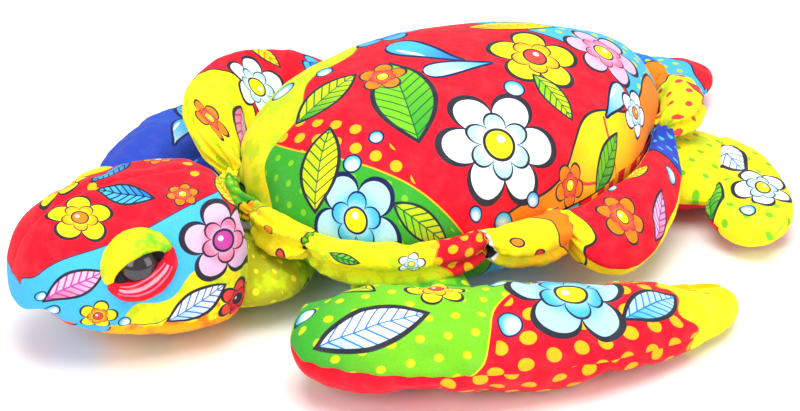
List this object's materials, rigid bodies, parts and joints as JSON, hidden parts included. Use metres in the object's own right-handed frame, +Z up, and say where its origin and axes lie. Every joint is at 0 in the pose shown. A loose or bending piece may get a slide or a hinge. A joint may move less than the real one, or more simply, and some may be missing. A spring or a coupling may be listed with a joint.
{
  "type": "plush turtle",
  "caption": "Stuffed sea turtle lying on its belly: padded shell in a gathered rim, a head that nods and turns, and flapping flippers in printed plush.",
  "frame": {"origin": "middle of the flat spot under the belly that the toy rests on", "axes": "+Z up from the belly to the shell, head towards -Y, the turtle's left side towards +X"},
  "size_m": [0.3895, 0.5226, 0.114],
  "materials": {
    "shell_plush": "short-pile plush, all-over bright print on red",
    "belly_plush": "short-pile plush",
    "rim_plush": "short-pile plush, patchwork print",
    "head_plush": "short-pile plush, all-over bright print on red and blue",
    "chin_plush": "short-pile plush, printed",
    "neck_plush": "short-pile plush",
    "upper_lid_plush": "short-pile plush, padded",
    "lower_lid_plush": "short-pile plush, padded",
    "flipper_top_plush": "short-pile plush, all-over bright print on green",
    "flipper_bottom_plush": "short-pile plush, printed on red",
    "fibre": "polyester fibre filling",
    "eye_plastic": "glossy moulded dome",
    "washer_plastic": "moulded lock washer"
  },
  "bodies": {
    "body": {"shell_cover": "shell_plush", "belly_cover": "belly_plush", "body_filling": "fibre", "rim_front_left": "rim_plush", "rim_side_front_left": "rim_plush", "rim_roll_left": "rim_plush", "rim_side_rear_left": "rim_plush", "rim_rear_left": "rim_plush", "rim_rear_right": "rim_plush", "rim_side_rear_right": "rim_plush", "rim_roll_right": "rim_plush", "rim_side_front_right": "rim_plush", "rim_front_right": "rim_plush", "flipper_front_left_root": "flipper_top_plush", "flipper_front_right_root": "flipper_top_plush", "flipper_rear_left_root": "flipper_top_plush", "flipper_rear_right_root": "flipper_top_plush"},
    "neck": {"neck_pad": "neck_plush"},
    "head": {"head_left": "head_plush", "head_right": "head_plush", "head_chin": "chin_plush", "head_filling": "fibre", "eye_left": "eye_plastic", "eye_right": "eye_plastic", "eye_washer_left": "washer_plastic", "eye_washer_right": "washer_plastic", "upper_lid_left": "upper_lid_plush", "upper_lid_right": "upper_lid_plush", "lower_lid_left": "lower_lid_plush", "lower_lid_right": "lower_lid_plush"},
    "front_left_flipper": {"flipper_front_left_top": "flipper_top_plush", "flipper_front_left_bottom": "flipper_bottom_plush", "flipper_front_left_filling": "fibre"},
    "front_right_flipper": {"flipper_front_right_top": "flipper_top_plush", "flipper_front_right_bottom": "flipper_bottom_plush", "flipper_front_right_filling": "fibre"},
    "rear_left_flipper": {"flipper_rear_left_top": "flipper_top_plush", "flipper_rear_left_bottom": "flipper_bottom_plush", "flipper_rear_left_filling": "fibre"},
    "rear_right_flipper": {"flipper_rear_right_top": "flipper_top_plush", "flipper_rear_right_bottom": "flipper_bottom_plush", "flipper_rear_right_filling": "fibre"}
  },
  "joints": [
    {"name": "neck_turn", "type": "hinge", "parent": "body", "child": "neck", "pos_m": [0.01, -0.141, 0.03], "axis": [0, 0, 1], "range_deg": [-8, 30], "stiffness_Nm_per_rad": 0.4},
    {"name": "head_nod", "type": "hinge", "parent": "neck", "child": "head", "pos_m": [-0.00088, -0.19695, 0.047], "axis": [-0.9816, 0.1908, 0], "range_deg": [-20, 20], "stiffness_Nm_per_rad": 0.6},
    {"name": "front_left_flap", "type": "hinge", "parent": "body", "child": "front_left_flipper", "pos_m": [0.1015, -0.09, 0.031], "axis": [-0.309, -0.9511, 0], "range_deg": [-30, 30], "stiffness_Nm_per_rad": 0.5},
    {"name": "front_right_flap", "type": "hinge", "parent": "body", "child": "front_right_flipper", "pos_m": [-0.1015, -0.09, 0.031], "axis": [-0.309, 0.9511, 0], "range_deg": [-30, 30], "stiffness_Nm_per_rad": 0.5},
    {"name": "rear_left_flap", "type": "hinge", "parent": "body", "child": "rear_left_flipper", "pos_m": [0.06, 0.148, 0.02], "axis": [0.7314, -0.682, 0], "range_deg": [-30, 30], "stiffness_Nm_per_rad": 0.25},
    {"name": "rear_right_flap", "type": "hinge", "parent": "body", "child": "rear_right_flipper", "pos_m": [-0.046, 0.163, 0.02], "axis": [0.9063, 0.4226, 0], "range_deg": [-30, 30], "stiffness_Nm_per_rad": 0.25}
  ]
}
